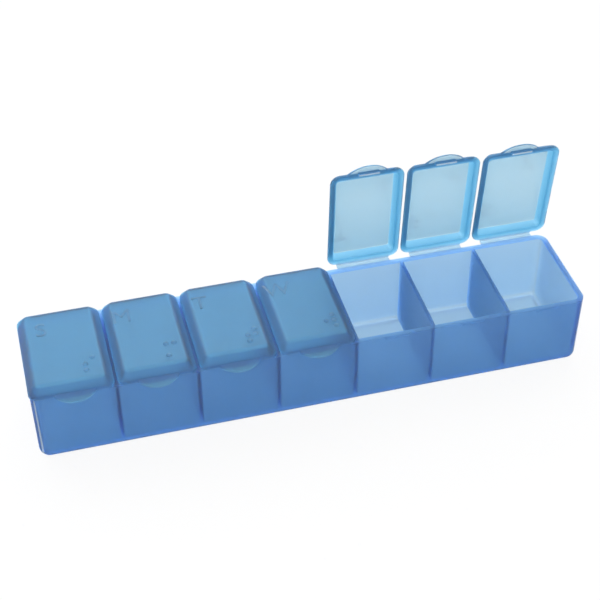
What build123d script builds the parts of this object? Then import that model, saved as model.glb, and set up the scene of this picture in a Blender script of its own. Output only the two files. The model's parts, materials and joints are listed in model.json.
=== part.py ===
from build123d import *
import os

# Weekly pill box in polypropylene: one tray of seven pockets, seven lids, seven living hinges.
# X runs along the days, the front with the thumb tabs faces -Y, and +Z is up.
# The origin is the middle of the tray's underside. Lengths are in millimetres, angles in degrees.

# How far each lid stands open
shut_angle = 0.0
thursday_open_angle = 86.0
friday_open_angle = 85.0
saturday_open_angle = 84.0

# Days from left to right
open_angles = {
    "sunday": shut_angle,
    "monday": shut_angle,
    "tuesday": shut_angle,
    "wednesday": shut_angle,
    "thursday": thursday_open_angle,
    "friday": friday_open_angle,
    "saturday": saturday_open_angle,
}

# Tray
tray_length = 152.0
tray_depth = 30.9
tray_height = 22.0
tray_wall = 1.5
tray_floor = 1.2
tray_corner_radius = 3.0
tray_base_radius = 2.6
tray_rim_radius = 0.3  # inner edge of the rim and both edges of each divider
divider_thickness = 1.0
divider_root_radius = 0.5
draft_angle = 0.4

# Snap bead on the tray's front wall, one for each lid
bead_length = 6.4
bead_height = 0.6
bead_proud = 0.4
bead_drop = 0.15  # from the tray's rim down to the bead

# Lid shell
lid_height = 3.2
lid_panel_thickness = 0.8
lid_rim_width = 1.5  # of the flat face that seats on the tray's rim
lid_rim_band = 0.7  # upright band at the foot of the skirt
lid_rim_radius = 0.2  # inner edge of the rim
lid_panel_inset = 2.1  # outside, from the rim in to the flat panel
lid_corner_radius = 2.6
lid_panel_radius = 1.3  # corners of the flat panel
lid_edge_radius = 1.7
lid_shoulder_radius = 1.0
lid_hollow_inset = 0.85  # inside, from the foot of the skirt in to the flat panel
lid_hollow_radius = 0.6  # corners of the flat panel, inside
lid_hollow_edge_radius = 0.3
lid_seat_gap = 0.12  # between a closed lid and the tray's rim
lid_gap = 0.75  # between neighbouring lids
lid_end_overhang = 0.3
lid_front_overhang = 0.3
lid_rear_overhang = 0.6

# Thumb tab, a drooping crescent at the lid's front
tab_width = 11.0
tab_reach = 2.7
tab_drop = 0.55
tab_root_height = 1.1
tab_tip_thickness = 0.6
tab_edge_radius = 0.2

# Catch under the thumb tab, which clips below the bead
catch_width = 5.8
catch_thickness = 0.55
catch_clearance = 0.06  # between the nib's tip and the bead's crest
nib_reach = 0.15  # from the catch's inner face to the nib's tip
nib_height = 0.35
nib_gap = 0.05  # between the bead's underside and the nib

# Living hinge, a thin strip folded round the hinge line
web_width = 15.3
web_thickness = 0.35
hinge_setback = 1.15  # from the tray's rear face to the hinge line

cut_overrun = 1.0

# Derived places
day_count = len(open_angles)
pitch = (tray_length - tray_wall) / day_count
first_divider_x = -tray_length / 2 + tray_wall / 2
front_y = -tray_depth / 2
rear_y = tray_depth / 2
lid_front_y = front_y - lid_front_overhang
lid_rear_y = rear_y + lid_rear_overhang
lid_seat_z = tray_height + lid_seat_gap
hinge_y = rear_y + hinge_setback
hinge_z = tray_height + lid_seat_gap / 2


def divider_x(divider):
    """Middle of a divider, counted from the left end wall."""
    return first_divider_x + divider * pitch


def pocket_x(day):
    """Middle of a day's pocket."""
    return (divider_x(day) + divider_x(day + 1)) / 2


def inner_edges(face):
    """Edges round the holes in a rim face."""
    return [edge for wire in face.inner_wires() for edge in wire.edges()]


def tub(length, depth, height, corner_radius, base_radius):
    """Tapered tub below the rim plane, with rounded corners and a rounded base."""
    rim = RectangleRounded(length, depth, corner_radius)
    body = extrude(rim, amount=-height, taper=draft_angle)
    base_edges = body.edges().group_by(Axis.Z)[0]
    return Pos(0, 0, tray_height) * fillet(base_edges, base_radius)


def rounded_pocket(pocket):
    """Round the roots of the dividers at both sides of one pocket."""
    flat_sides = pocket.faces().filter_by(Plane.YZ)
    roots = [edge for side in flat_sides for edge in side.edges() if edge.center().Z < tray_height]
    return fillet(roots, divider_root_radius)


def snap_bead(x):
    """Half-round ridge on the outside of the front wall."""
    crest_z = tray_height - bead_drop - bead_height / 2
    root_y = front_y + tray_wall / 2
    low = (front_y, crest_z - bead_height / 2)
    high = (front_y, crest_z + bead_height / 2)
    outline = ThreePointArc(low, (front_y - bead_proud, crest_z), high)
    outline += Polyline(high, (root_y, high[1]), (root_y, low[1]), low)
    section = Plane.YZ * make_face(outline)
    return Pos(x, 0, 0) * extrude(section, amount=bead_length / 2, both=True)


def tray():
    """Floor, outer wall and dividers in one moulding, with the snap beads."""
    outside = tub(tray_length, tray_depth, tray_height, tray_corner_radius, tray_base_radius)
    inside = tub(
        tray_length - 2 * tray_wall,
        tray_depth - 2 * tray_wall,
        tray_height - tray_floor,
        tray_corner_radius - tray_wall,
        tray_base_radius - tray_wall,
    )
    for divider in range(1, day_count):
        slab = Box(divider_thickness, tray_depth, tray_height + cut_overrun)
        inside -= Pos(divider_x(divider), 0, tray_height / 2) * slab
    body = outside
    for pocket in inside.solids():
        body -= rounded_pocket(pocket)
    body = fillet(inner_edges(body.faces().sort_by(Axis.Z)[-1]), tray_rim_radius)
    for day in range(day_count):
        body += snap_bead(pocket_x(day))
    return body


def cap(width, depth, height, inset, rim_radius, panel_radius):
    """Upright band below sloping skirts and a smaller flat panel."""
    rim = RectangleRounded(width, depth, rim_radius)
    panel = RectangleRounded(width - 2 * inset, depth - 2 * inset, panel_radius)
    skirts = loft([Pos(0, 0, lid_rim_band) * rim, Pos(0, 0, height) * panel], ruled=True)
    return extrude(rim, amount=lid_rim_band) + skirts


def lid_shell(width, depth):
    """Shallow cap, open below: a thin panel on skirts that thicken towards the rim."""
    outside = cap(width, depth, lid_height, lid_panel_inset, lid_corner_radius, lid_panel_radius)
    outside = fillet(outside.edges().group_by(Axis.Z)[2], lid_shoulder_radius)
    outside = fillet(outside.edges().group_by(Axis.Z)[-1], lid_edge_radius)
    hollow = cap(
        width - 2 * lid_rim_width,
        depth - 2 * lid_rim_width,
        lid_height - lid_panel_thickness,
        lid_hollow_inset,
        lid_corner_radius - lid_rim_width,
        lid_hollow_radius,
    )
    hollow = fillet(hollow.edges().group_by(Axis.Z)[-1], lid_hollow_edge_radius)
    shell = outside - hollow
    return fillet(inner_edges(shell.faces().sort_by(Axis.Z)[0]), lid_rim_radius)


def thumb_tab():
    """Crescent lip that droops from the lid's front rim."""
    root_y = lid_front_y + lid_rim_width / 2
    tip_y = lid_front_y - tab_reach
    radius = (tab_width**2 / 4 + tab_reach**2) / (2 * tab_reach)
    crescent = Pos(0, tip_y + radius) * Circle(radius)
    crescent &= Pos(0, (root_y + tip_y) / 2) * Rectangle(tab_width, root_y - tip_y)
    lip = Polyline(
        (root_y, lid_seat_z),
        (lid_front_y, lid_seat_z),
        (tip_y, lid_seat_z - tab_drop),
        (tip_y, lid_seat_z - tab_drop + tab_tip_thickness),
        (root_y, lid_seat_z + tab_root_height),
        close=True,
    )
    lip = extrude(Plane.YZ * make_face(lip), amount=tab_width / 2, both=True)
    lip &= extrude(Pos(0, 0, lid_seat_z) * crescent, amount=lid_height, both=True)
    tip = lip.faces().filter_by(GeomType.CYLINDER)[0]
    return fillet(tip.edges().filter_by(GeomType.ELLIPSE), tab_edge_radius)


def catch():
    """Small hook under the tab, with a nib that sits below the tray's bead."""
    bead_under_z = tray_height - bead_drop - bead_height
    nib_y = front_y - bead_proud - catch_clearance
    inner_y = nib_y - nib_reach
    outer_y = inner_y - catch_thickness
    nib_top_z = bead_under_z - nib_gap
    nib_bottom_z = nib_top_z - nib_height
    top_z = lid_seat_z + tab_tip_thickness / 2
    hook = Polyline(
        (inner_y, top_z),
        (inner_y, nib_top_z),
        (nib_y, nib_top_z),
        (inner_y, nib_bottom_z),
        (outer_y, nib_bottom_z),
        (outer_y, top_z),
        close=True,
    )
    return extrude(Plane.YZ * make_face(hook), amount=catch_width / 2, both=True)


def lid(day, angle):
    """One lid, turned open about the hinge line by the angle."""
    low_x = divider_x(day) + lid_gap / 2
    high_x = divider_x(day + 1) - lid_gap / 2
    if day == 0:
        low_x = -tray_length / 2 - lid_end_overhang
    if day == day_count - 1:
        high_x = tray_length / 2 + lid_end_overhang
    middle = Pos((low_x + high_x) / 2, (lid_front_y + lid_rear_y) / 2, lid_seat_z)
    body = middle * lid_shell(high_x - low_x, lid_rear_y - lid_front_y)
    body += Pos(pocket_x(day), 0, 0) * (thumb_tab() + catch())
    return body.rotate(Axis((0, hinge_y, hinge_z), (1, 0, 0)), -angle)


def hinge_web(day, angle):
    """Thin strip from the tray's rear wall, round the hinge line, to the lid's rear rim."""
    inner = lid_seat_gap / 2
    outer = inner + web_thickness
    middle = inner + web_thickness / 2
    lid_leg = hinge_setback - lid_rear_overhang
    rear_half = Pos(outer, 0) * Rectangle(2 * outer, 4 * outer)
    opened = Rot(0, 0, -angle)
    strip = (Circle(outer) - Circle(inner)) & rear_half & (opened * rear_half)
    strip += Pos(-hinge_setback / 2, -middle) * Rectangle(hinge_setback, web_thickness)
    strip += opened * Pos(-lid_leg / 2, middle) * Rectangle(lid_leg, web_thickness)
    section = Plane((0, hinge_y, hinge_z), x_dir=(0, 1, 0), z_dir=(1, 0, 0)) * strip
    return Pos(pocket_x(day), 0, 0) * extrude(section, amount=web_width / 2, both=True)


os.makedirs("parts", exist_ok=True)
export_step(tray(), "parts/tray.step")
for day, (name, angle) in enumerate(open_angles.items()):
    export_step(lid(day, angle), f"parts/lid_{name}.step")
    export_step(hinge_web(day, angle), f"parts/hinge_{name}.step")
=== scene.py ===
import bpy
import json
import math
from mathutils import Matrix, Vector


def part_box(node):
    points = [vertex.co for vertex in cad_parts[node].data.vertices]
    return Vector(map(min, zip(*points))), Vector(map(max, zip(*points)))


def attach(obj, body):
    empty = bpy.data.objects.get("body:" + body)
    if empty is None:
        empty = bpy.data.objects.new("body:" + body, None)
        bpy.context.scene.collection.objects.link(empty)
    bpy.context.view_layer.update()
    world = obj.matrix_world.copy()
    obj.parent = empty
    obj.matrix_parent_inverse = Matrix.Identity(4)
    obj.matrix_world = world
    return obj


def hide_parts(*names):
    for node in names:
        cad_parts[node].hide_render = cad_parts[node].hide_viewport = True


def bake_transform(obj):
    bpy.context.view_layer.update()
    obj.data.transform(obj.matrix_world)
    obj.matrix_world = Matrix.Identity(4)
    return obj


# Weekly pill box in frosted blue polypropylene: four lids shut, three stood open on their living hinges

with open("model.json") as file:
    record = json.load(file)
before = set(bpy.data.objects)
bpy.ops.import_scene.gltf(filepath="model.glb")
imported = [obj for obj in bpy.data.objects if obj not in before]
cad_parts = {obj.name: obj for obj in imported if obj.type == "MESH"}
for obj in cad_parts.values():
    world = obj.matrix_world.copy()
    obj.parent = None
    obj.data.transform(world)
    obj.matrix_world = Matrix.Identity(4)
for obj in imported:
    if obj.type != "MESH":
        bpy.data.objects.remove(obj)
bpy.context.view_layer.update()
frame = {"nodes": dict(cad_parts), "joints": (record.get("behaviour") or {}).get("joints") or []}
mm = 0.001
softEdge = math.radians(40)  # edges that turn by less are shaded smooth
hinges = {joint["child"].removeprefix("lid_"): joint for joint in frame["joints"]}
days = sorted(hinges, key=lambda day: hinges[day]["pos_m"][0])  # left to right
openAngles = {day: math.radians(-hinges[day]["range_deg"][0]) for day in days}
shutDay = min(days, key=openAngles.get)
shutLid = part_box("lid_" + shutDay)
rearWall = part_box("tray")[1].y
bpy.ops.object.select_all(action="DESELECT")
print("frame: one tray and", len(days), "lids")


def hexColour(code):
    channels = [int(code[i:i + 2], 16) / 255 for i in (0, 2, 4)]
    linear = [c / 12.92 if c <= 0.04045 else ((c + 0.055) / 1.055) ** 2.4 for c in channels]
    return (*linear, 1.0)


def addNode(tree, kind, settings, inputs):
    node = tree.nodes.new(kind)
    for name, value in settings.items():
        setattr(node, name, value)
    for name, value in inputs.items():
        if isinstance(value, bpy.types.NodeSocket):
            tree.links.new(value, node.inputs[name])
        else:
            node.inputs[name].default_value = value
    return node


def newMaterial(name):
    material = bpy.data.materials.new(name)
    material.use_nodes = True
    material.node_tree.nodes.clear()
    return material


# Polypropylene, injection moulded: see-through blue that deepens where the eye looks through more of it.
# Outer faces have a waxy sheen. The pockets and the lids' flat undersides are textured, so matt and milky
trayLook = {
    "body": "A4CFF2",
    "cloudPale": "B0D8F8",
    "cloud": 9 * mm,  # flow marks in the melt
    "cloudSpan": (0.3, 0.7),  # where the flow marks take the sheen from one end to the other
    "grit": 0.5 * mm,  # real grit is about 0.1 mm, drawn coarser so that it shows
    "gritDepth": 0.006 * mm,
    "gritDetail": 1.0,
    "roughness": (0.46, 0.58),
    "ior": 1.15,  # 1.49 when solid and clear, lowered because the haze hides most of the bending
    "seeThrough": 0.85,
    "milk": "E4F3EE",
    "milkSeeThrough": 0.55,
    "stain": "00A6E5",
    "stainDensity": 350,  # per metre
}
# The lids are the same plastic as the tray. Their copy is paler and less blue, which is painted sheen: the
# grey-white sheen that the light from above puts on the lid panels
lidLook = {
    **trayLook,
    "body": "B6DCF5",
    "cloudPale": "C4E5FA",
    "seeThrough": 0.86,
    "milk": "EEF6F7",
    "milkSeeThrough": 0.45,
    "stain": "00C6DC",
    "stainDensity": 1100,
}

# Raised marks are too thin to deepen the blue by much
markLook = {**lidLook, "body": "E6F3FB", "cloudPale": "F2F9FE", "seeThrough": 0.97, "stainDensity": 200}

# The same plastic where it was stretched thin in the folds, whitened along the stretch
webLook = {
    **trayLook,
    "body": "C2E2F3",
    "cloudPale": "D4EDF8",
    "cloud": 0.7 * mm,
    "grit": 0.3 * mm,
    "gritDepth": 0.004 * mm,
    "seeThrough": 0.6,
    "stainDensity": 150,
}

# Where the milk is: in the tray's pockets below the clear rim, and under each lid's panel and tab
pocketMilk = {
    "wall": 1.5 * mm,
    "floor": 1.2 * mm,
    "rim": 0.4 * mm,
    "dividerRoom": 8 * mm,  # dividers stand at least this far in from the end walls
    "dividerSlope": 0.6,  # and face sideways at least this much
    "dividerClear": 0.6,  # share of the milk that they lack
}
lidMilk = {
    "seat": (-0.05 * mm, 1.45 * mm),  # heights between which the lid's rim stays clear
    "slope": -0.6,  # what is milky faces down at least this much
}


def insideTray(tree, place):
    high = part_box("tray")[1] - Vector((pocketMilk["wall"] / 2, pocketMilk["wall"] / 2, pocketMilk["rim"]))
    low = Vector((-high.x, -high.y, pocketMilk["floor"] / 2))
    offset = addNode(tree, "ShaderNodeVectorMath", {"operation": "SUBTRACT"}, {
        0: place, 1: (high + low) / 2})
    reach = addNode(tree, "ShaderNodeVectorMath", {"operation": "ABSOLUTE"}, {0: offset.outputs[0]})
    beyond = addNode(tree, "ShaderNodeVectorMath", {"operation": "SUBTRACT"}, {
        0: reach.outputs[0], 1: (high - low) / 2})
    parts = addNode(tree, "ShaderNodeSeparateXYZ", {}, {"Vector": beyond.outputs[0]})
    sides = addNode(tree, "ShaderNodeMath", {"operation": "MAXIMUM"}, {
        0: parts.outputs["X"], 1: parts.outputs["Y"]})
    most = addNode(tree, "ShaderNodeMath", {"operation": "MAXIMUM"}, {
        0: sides.outputs[0], 1: parts.outputs["Z"]})
    within = addNode(tree, "ShaderNodeMath", {"operation": "LESS_THAN"}, {0: most.outputs[0], 1: 0.0})
    normal = addNode(tree, "ShaderNodeTexCoord", {}, {}).outputs["Normal"]
    turned = addNode(tree, "ShaderNodeSeparateXYZ", {}, {"Vector": normal})
    sideways = addNode(tree, "ShaderNodeMath", {"operation": "ABSOLUTE"}, {0: turned.outputs["X"]})
    across = addNode(tree, "ShaderNodeMath", {"operation": "GREATER_THAN"}, {
        0: sideways.outputs[0], 1: pocketMilk["dividerSlope"]})
    middle = addNode(tree, "ShaderNodeMath", {"operation": "LESS_THAN"}, {
        0: parts.outputs["X"], 1: -pocketMilk["dividerRoom"]})
    divider = addNode(tree, "ShaderNodeMath", {"operation": "MULTIPLY"}, {
        0: across.outputs[0], 1: middle.outputs[0]})
    clearer = addNode(tree, "ShaderNodeMath", {"operation": "MULTIPLY"}, {
        0: divider.outputs[0], 1: pocketMilk["dividerClear"]})
    return addNode(tree, "ShaderNodeMath", {"operation": "SUBTRACT", "use_clamp": True}, {
        0: within.outputs[0], 1: clearer.outputs[0]}).outputs[0]


def insideLid(day):
    up = Vector((0, math.sin(openAngles[day]), math.cos(openAngles[day])))
    low, high = (up.dot(Vector(hinges[day]["pos_m"])) + height for height in lidMilk["seat"])

    def mask(tree, place):
        normal = addNode(tree, "ShaderNodeTexCoord", {}, {}).outputs["Normal"]
        behind = addNode(tree, "ShaderNodeNewGeometry", {}, {}).outputs["Backfacing"]
        outwards = addNode(tree, "ShaderNodeMapRange", {}, {"Value": behind, "To Min": 1.0, "To Max": -1.0})
        facing = addNode(tree, "ShaderNodeVectorMath", {"operation": "DOT_PRODUCT"}, {0: normal, 1: up})
        slope = addNode(tree, "ShaderNodeMath", {"operation": "MULTIPLY"}, {
            0: facing.outputs["Value"], 1: outwards.outputs["Result"]})
        down = addNode(tree, "ShaderNodeMath", {"operation": "LESS_THAN"}, {
            0: slope.outputs[0], 1: lidMilk["slope"]})
        height = addNode(tree, "ShaderNodeVectorMath", {"operation": "DOT_PRODUCT"}, {0: place, 1: up})
        rim = addNode(tree, "ShaderNodeMath", {"operation": "COMPARE"}, {
            0: height.outputs["Value"], 1: (low + high) / 2, 2: (high - low) / 2})
        return addNode(tree, "ShaderNodeMath", {"operation": "SUBTRACT", "use_clamp": True}, {
            0: down.outputs[0], 1: rim.outputs[0]}).outputs[0]
    return mask


def polypropylene(name, look, inside):
    material = newMaterial(name)
    tree = material.node_tree
    place = addNode(tree, "ShaderNodeTexCoord", {}, {}).outputs["Object"]
    cloud = addNode(tree, "ShaderNodeTexNoise", {}, {"Vector": place, "Scale": 1 / look["cloud"]})
    colour = addNode(tree, "ShaderNodeMix", {"data_type": "RGBA"}, {
        "Factor": cloud.outputs["Fac"],
        6: hexColour(look["body"]), 7: hexColour(look["cloudPale"])}).outputs[2]
    clear = look["seeThrough"]
    if inside:
        inner = inside(tree, place)
        colour = addNode(tree, "ShaderNodeMix", {"data_type": "RGBA"}, {
            "Factor": inner, 6: colour, 7: hexColour(look["milk"])}).outputs[2]
        clear = addNode(tree, "ShaderNodeMapRange", {}, {
            "Value": inner, "To Min": clear, "To Max": look["milkSeeThrough"]}).outputs["Result"]
    grit = addNode(tree, "ShaderNodeTexNoise", {}, {
        "Vector": place, "Scale": 1 / look["grit"], "Detail": look["gritDetail"]})
    sheen = addNode(tree, "ShaderNodeMapRange", {}, {
        "Value": cloud.outputs["Fac"], "From Min": look["cloudSpan"][0], "From Max": look["cloudSpan"][1],
        "To Min": look["roughness"][0], "To Max": look["roughness"][1]})
    bump = addNode(tree, "ShaderNodeBump", {}, {
        "Height": grit.outputs["Fac"], "Distance": look["gritDepth"], "Strength": 1.0})
    shell = addNode(tree, "ShaderNodeBsdfPrincipled", {}, {
        "Base Color": colour, "Roughness": sheen.outputs["Result"], "IOR": look["ior"],
        "Transmission Weight": clear, "Normal": bump.outputs["Normal"]})
    stain = addNode(tree, "ShaderNodeVolumeAbsorption", {}, {
        "Color": hexColour(look["stain"]), "Density": look["stainDensity"]})
    addNode(tree, "ShaderNodeOutputMaterial", {}, {
        "Surface": shell.outputs["BSDF"], "Volume": stain.outputs["Volume"]})
    return material


def paint(piece, material):
    piece.data.materials.clear()
    piece.data.materials.append(material)


trayPlastic = polypropylene("trayPolypropylene", trayLook, insideTray)
markPlastic = polypropylene("raisedPolypropylene", markLook, None)
webPlastic = polypropylene("stretchedPolypropylene", webLook, None)
lidPlastic = {day: polypropylene("lidPolypropylene_" + day, lidLook, insideLid(day)) for day in days}
paint(frame["nodes"]["tray"], trayPlastic)
for day in days:
    paint(frame["nodes"]["lid_" + day], lidPlastic[day])
    paint(frame["nodes"]["hinge_" + day], webPlastic)
print("materials: polypropylene for the tray, the lids and the stretched folds")


# Living hinges: a thin strip from the tray's rear wall, folded round the hinge line up to the lid
web = {
    "width": 15.3 * mm,
    "thickness": 0.35 * mm,
    "foldRadius": 0.235 * mm,  # at the middle of the strip's thickness
    "foldSteps": 14,
    "legSteps": 3,
}


def swing(day):
    hinge = Vector(hinges[day]["pos_m"])
    turn = Matrix.Rotation(-openAngles[day], 4, "X")
    return Matrix.Translation(hinge) @ turn @ Matrix.Translation(-hinge)


def hingeStrip(day):
    hinge = Vector(hinges[day]["pos_m"])
    trayLeg = hinge.y - rearWall
    lidLeg = hinge.y - shutLid[1].y
    low = Vector((hinge.x, hinge.y, hinge.z - web["foldRadius"]))
    bpy.ops.mesh.primitive_plane_add(size=1, location=low - Vector((0, trayLeg / 2, 0)))
    strip = bpy.context.object
    strip.name = "web_" + day
    strip.scale = (web["width"], trayLeg, 1)
    bpy.ops.object.transform_apply(location=True, scale=True)
    rear = max(vertex.co.y for vertex in strip.data.vertices)
    for vertex in strip.data.vertices:
        vertex.select = vertex.co.y == rear
    for edge in strip.data.edges:
        edge.select = all(strip.data.vertices[i].select for i in edge.vertices)
    for face in strip.data.polygons:
        face.select = False
    bpy.ops.object.mode_set(mode="EDIT")
    bpy.ops.mesh.spin(
        steps=web["foldSteps"], angle=openAngles[day] - math.pi, center=hinge, axis=(1, 0, 0))
    up = (swing(day).to_3x3() @ Vector((0, -lidLeg, 0))) / web["legSteps"]
    for step in range(web["legSteps"]):
        bpy.ops.mesh.extrude_region_move(TRANSFORM_OT_translate={"value": up})
    bpy.ops.mesh.select_all(action="SELECT")
    bpy.ops.mesh.normals_make_consistent(inside=False)
    bpy.ops.object.mode_set(mode="OBJECT")
    bpy.ops.object.modifier_add(type="SOLIDIFY")
    strip.modifiers[0].thickness = web["thickness"]
    strip.modifiers[0].offset = 0
    bpy.ops.object.modifier_apply(modifier=strip.modifiers[0].name)
    bpy.ops.object.shade_smooth_by_angle(angle=softEdge)
    paint(strip, webPlastic)
    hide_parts("hinge_" + day)
    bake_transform(strip)
    bpy.ops.object.select_all(action="DESELECT")


for day in days:
    hingeStrip(day)
print("hinges:", len(days), "folded strips")


# Day marks moulded on each lid: the day's initial at the rear left and its braille cell at the front right
marks = {
    "initialHeight": 5.0 * mm,
    "capShare": 0.69,  # of the font's size
    "initialAt": (-5.8 * mm, 7.1 * mm),  # from the pocket's middle
    "rise": 0.09 * mm,  # the marks are sunk in the panel by as much
    "dotRadius": 0.75 * mm,
    "dotRise": 0.42 * mm,
    "dotSides": 20,
    "dotRings": 10,
    "dotColumns": (3.8 * mm, 5.9 * mm),
    "dotRows": (-6.4 * mm, -8.6 * mm, -10.9 * mm),
}
brailleDots = {"s": (2, 3, 4), "m": (1, 3, 4), "t": (2, 3, 4, 5), "w": (2, 4, 5, 6), "f": (1, 2, 4)}


def onLid(piece, day):
    bpy.ops.object.transform_apply(location=True, rotation=True, scale=True)
    piece.data.transform(swing(day))
    paint(piece, markPlastic)
    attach(piece, "lid_" + day)
    bpy.ops.object.select_all(action="DESELECT")


def initial(day):
    middle = hinges[day]["pos_m"][0]
    place = (middle + marks["initialAt"][0], marks["initialAt"][1], shutLid[1].z)
    bpy.ops.object.text_add(location=place)
    letter = bpy.context.object
    letter.name = "initial_" + day
    letter.data.body = day[0].upper()
    letter.data.align_x = "CENTER"
    letter.data.align_y = "CENTER"
    letter.data.size = marks["initialHeight"] / marks["capShare"]
    letter.data.extrude = marks["rise"]
    bpy.ops.object.convert(target="MESH")
    onLid(bpy.context.object, day)


def brailleDot():
    bpy.ops.mesh.primitive_uv_sphere_add(
        segments=marks["dotSides"], ring_count=marks["dotRings"], radius=marks["dotRadius"])
    dot = bpy.context.object
    dot.scale.z = marks["dotRise"] / marks["dotRadius"]
    bpy.ops.object.transform_apply(scale=True)
    bpy.ops.object.mode_set(mode="EDIT")
    bpy.ops.mesh.select_all(action="SELECT")
    bpy.ops.mesh.bisect(
        plane_co=(0, 0, -marks["rise"]), plane_no=(0, 0, 1), use_fill=True, clear_inner=True)
    bpy.ops.object.mode_set(mode="OBJECT")
    bpy.ops.object.shade_smooth_by_angle(angle=softEdge)
    bpy.ops.object.select_all(action="DESELECT")
    return dot


def brailleCell(day, pattern):
    middle = hinges[day]["pos_m"][0]
    for number in brailleDots[day[0]]:
        column, row = divmod(number - 1, len(marks["dotRows"]))
        dot = pattern.copy()
        dot.data = pattern.data.copy()
        dot.location = (middle + marks["dotColumns"][column], marks["dotRows"][row], shutLid[1].z)
        bpy.context.collection.objects.link(dot)
        dot.select_set(True)
        bpy.context.view_layer.objects.active = dot
    bpy.ops.object.join()
    cell = bpy.context.object
    cell.name = "braille_" + day
    onLid(cell, day)


dotPattern = brailleDot()
for day in days:
    initial(day)
    brailleCell(day, dotPattern)
bpy.data.objects.remove(dotPattern)
print("marks: initials and braille on", len(days), "lids")


# Pale floor and plain studio light: soft from behind, faint from above and in front, and a small key lamp
studio = {
    "floorSize": 6.0,
    "floorWhite": "F4F4F4",
    "floorLift": 0.36,  # seen through the plastic
    "shadowShare": 0.1,  # of the floor's shading that the camera sees
    "skyWhite": "FFFFFF",
    "skyLevels": {(0, 1, 0): 3.1, (0, -1, 0): 0.35, (0, 0, 1): 0.5},  # by the way that the light comes from
    "key": {"place": (-0.2, -0.48, 1.12), "size": 0.3, "watts": 4.0},
    "bounces": 32,  # light passes many walls
}


def paleFloor(look):
    material = newMaterial("paleFloor")
    tree = material.node_tree
    ways = addNode(tree, "ShaderNodeLightPath", {}, {})
    matte = addNode(tree, "ShaderNodeBsdfDiffuse", {}, {"Color": hexColour(look["floorWhite"])})
    through = addNode(tree, "ShaderNodeMath", {"operation": "MULTIPLY"}, {
        0: ways.outputs["Is Transmission Ray"], 1: look["floorLift"]})
    lift = addNode(tree, "ShaderNodeEmission", {}, {"Strength": through.outputs[0]})
    lit = addNode(tree, "ShaderNodeAddShader", {}, {0: matte.outputs[0], 1: lift.outputs[0]})
    white = addNode(tree, "ShaderNodeEmission", {}, {"Strength": 1.0})
    seen = addNode(tree, "ShaderNodeMath", {"operation": "MULTIPLY"}, {
        0: ways.outputs["Is Camera Ray"], 1: 1 - look["shadowShare"]})
    both = addNode(tree, "ShaderNodeMixShader", {}, {
        0: seen.outputs[0], 1: lit.outputs[0], 2: white.outputs[0]})
    addNode(tree, "ShaderNodeOutputMaterial", {}, {"Surface": both.outputs[0]})
    return material


def paleSky(look):
    world = bpy.data.worlds.new("studio")
    bpy.context.scene.world = world
    world.use_nodes = True
    tree = world.node_tree
    tree.nodes.clear()
    ways = addNode(tree, "ShaderNodeLightPath", {}, {})
    towards = addNode(tree, "ShaderNodeTexCoord", {}, {}).outputs["Generated"]
    level = 0.0
    for way, strength in look["skyLevels"].items():
        facing = addNode(tree, "ShaderNodeVectorMath", {"operation": "DOT_PRODUCT"}, {0: towards, 1: way})
        share = addNode(tree, "ShaderNodeMath", {"operation": "MAXIMUM"}, {
            0: facing.outputs["Value"], 1: 0.0})
        level = addNode(tree, "ShaderNodeMath", {"operation": "MULTIPLY_ADD"}, {
            0: share.outputs[0], 1: strength, 2: level}).outputs[0]
    white = addNode(tree, "ShaderNodeMath", {"operation": "MAXIMUM"}, {
        0: level, 1: ways.outputs["Is Camera Ray"]})
    sky = addNode(tree, "ShaderNodeBackground", {}, {
        "Color": hexColour(look["skyWhite"]), "Strength": white.outputs[0]})
    addNode(tree, "ShaderNodeOutputWorld", {}, {"Surface": sky.outputs[0]})


bpy.ops.mesh.primitive_plane_add(size=studio["floorSize"], location=(0, 0, 0))
floor = bpy.context.object
floor.name = "floor"
paint(floor, paleFloor(studio))
paleSky(studio)

key = studio["key"]
bpy.ops.object.light_add(type="AREA", location=key["place"])
lamp = bpy.context.object
lamp.name = "keyLight"
lamp.data.energy = key["watts"]
lamp.data.size = key["size"]
lamp.rotation_euler = (-Vector(key["place"])).to_track_quat("-Z", "Y").to_euler()
bpy.context.scene.cycles.max_bounces = studio["bounces"]
bpy.context.scene.cycles.transmission_bounces = studio["bounces"]
print("studio: floor, sky and a key lamp")


# Camera, solved from the photograph's perspective
camera = {
    "azimuth": math.radians(-14.594),
    "elevation": math.radians(40.780),
    "roll": math.radians(-0.272),
    "distance": 391.40 * mm,
    "slide": (-1.296 * mm, 19.966 * mm),
    "lens": 83.196,
}
right = Vector((math.cos(camera["azimuth"]), math.sin(camera["azimuth"]), 0))
back = right.cross(Vector((0, 0, 1))) * math.cos(camera["elevation"])
back.z = math.sin(camera["elevation"])
roll = Matrix.Rotation(camera["roll"], 3, "Z")
turn = Matrix((right, back.cross(right), back)).transposed() @ roll
place = turn @ Vector((*camera["slide"], camera["distance"]))
bpy.ops.object.camera_add()
eye = bpy.context.object
eye.name = "camera"
eye.data.lens = camera["lens"]
eye.matrix_world = Matrix.Translation(place) @ turn.to_4x4()
bpy.context.scene.camera = eye
bpy.context.scene.view_settings.view_transform = "Standard"
print("camera: at", [round(v, 3) for v in place])
